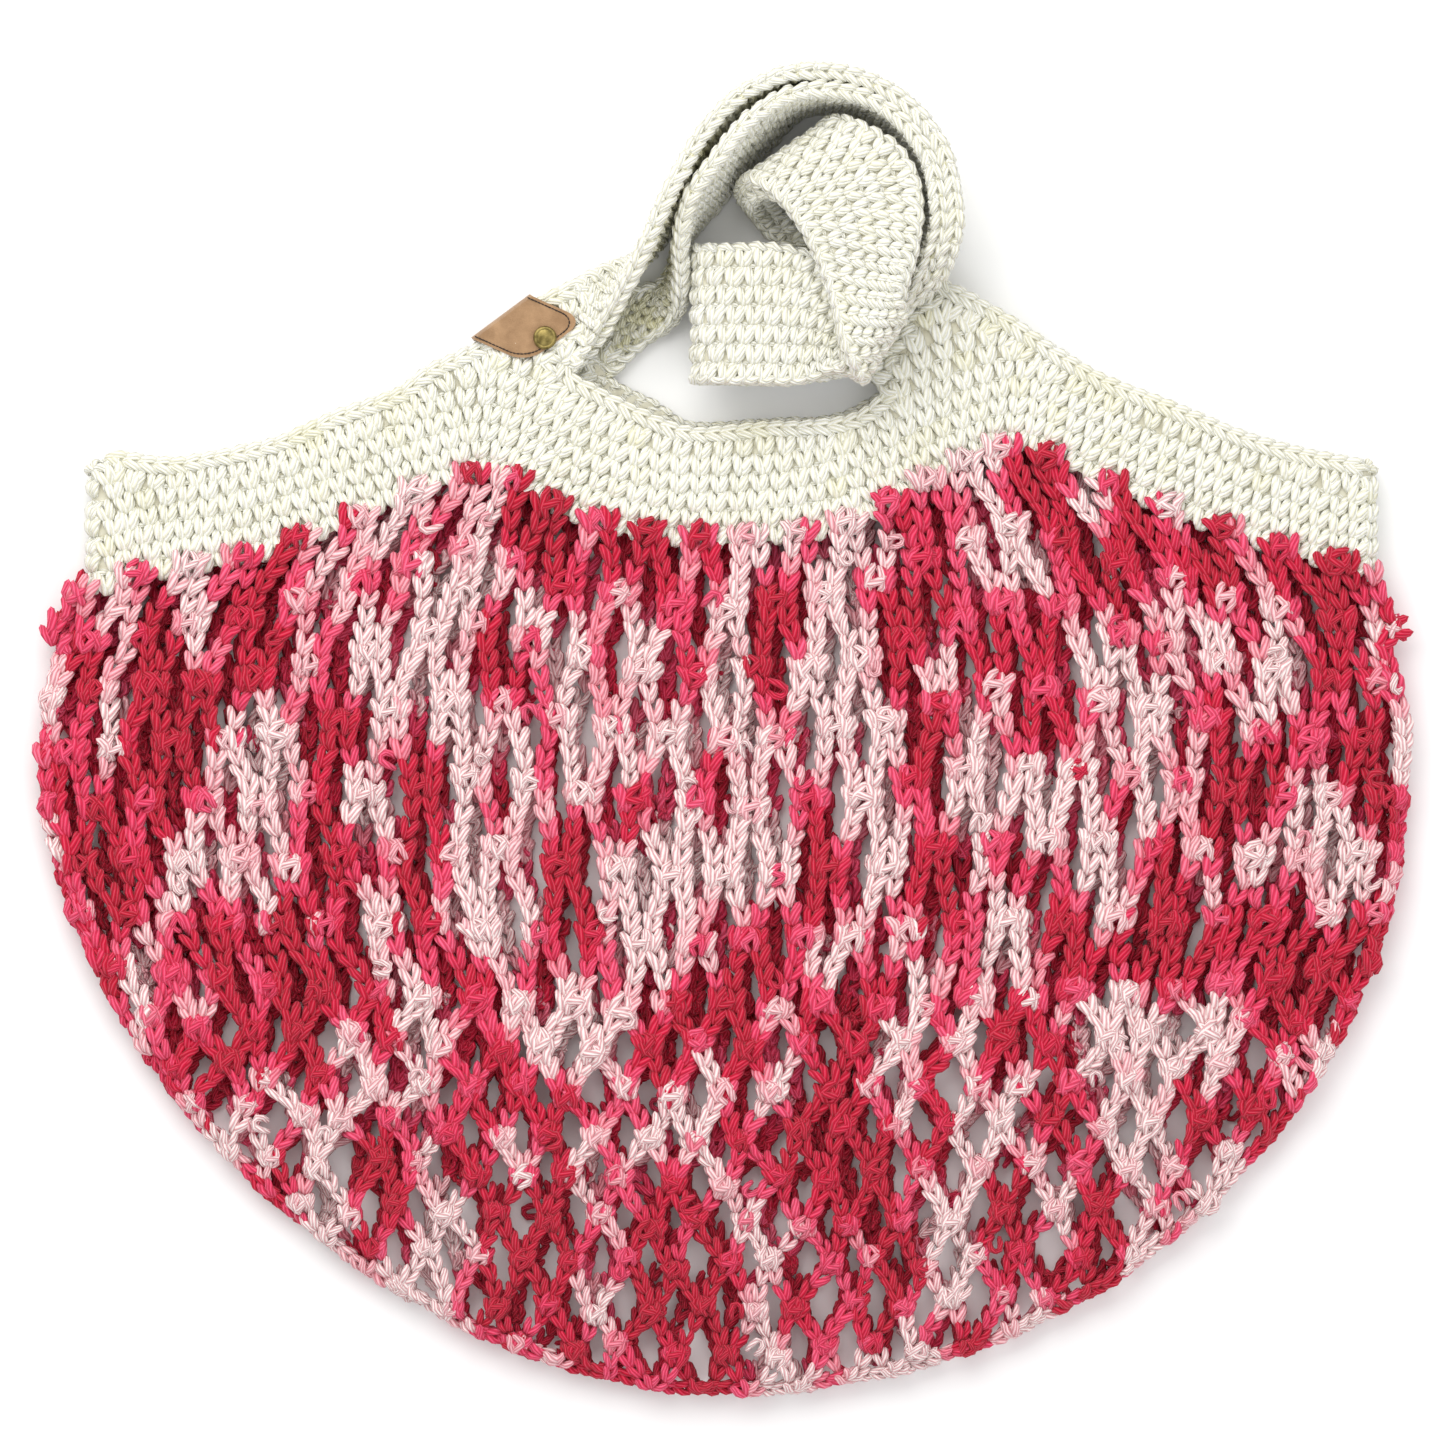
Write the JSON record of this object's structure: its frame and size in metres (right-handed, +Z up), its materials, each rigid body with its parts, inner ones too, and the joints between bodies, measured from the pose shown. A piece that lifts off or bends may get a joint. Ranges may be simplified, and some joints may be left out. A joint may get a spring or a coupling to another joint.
{
  "type": "mesh market bag",
  "caption": "Crocheted net shopping bag with a plain cotton band and two long straps tied in a loose knot, lying flat.",
  "frame": {"origin": "middle of the bag's box on the surface it lies on", "axes": "+X across the bag, +Y from its foot to its straps, +Z up from the surface"},
  "size_m": [0.4092, 0.3955, 0.0407],
  "materials": {
    "variegated_yarn": "worsted cotton yarn dyed in runs of crimson, rose and pale pink",
    "cream_yarn": "soft matte worsted cotton in single crochet",
    "tan_suede": "brushed tan suede with a dark stitched border",
    "antique_brass": "satin antique brass"
  },
  "bodies": {
    "root": {"net_body": "variegated_yarn", "band": "cream_yarn", "strap_front": "cream_yarn", "strap_back": "cream_yarn", "label": "tan_suede", "rivet": "antique_brass"}
  },
  "joints": []
}
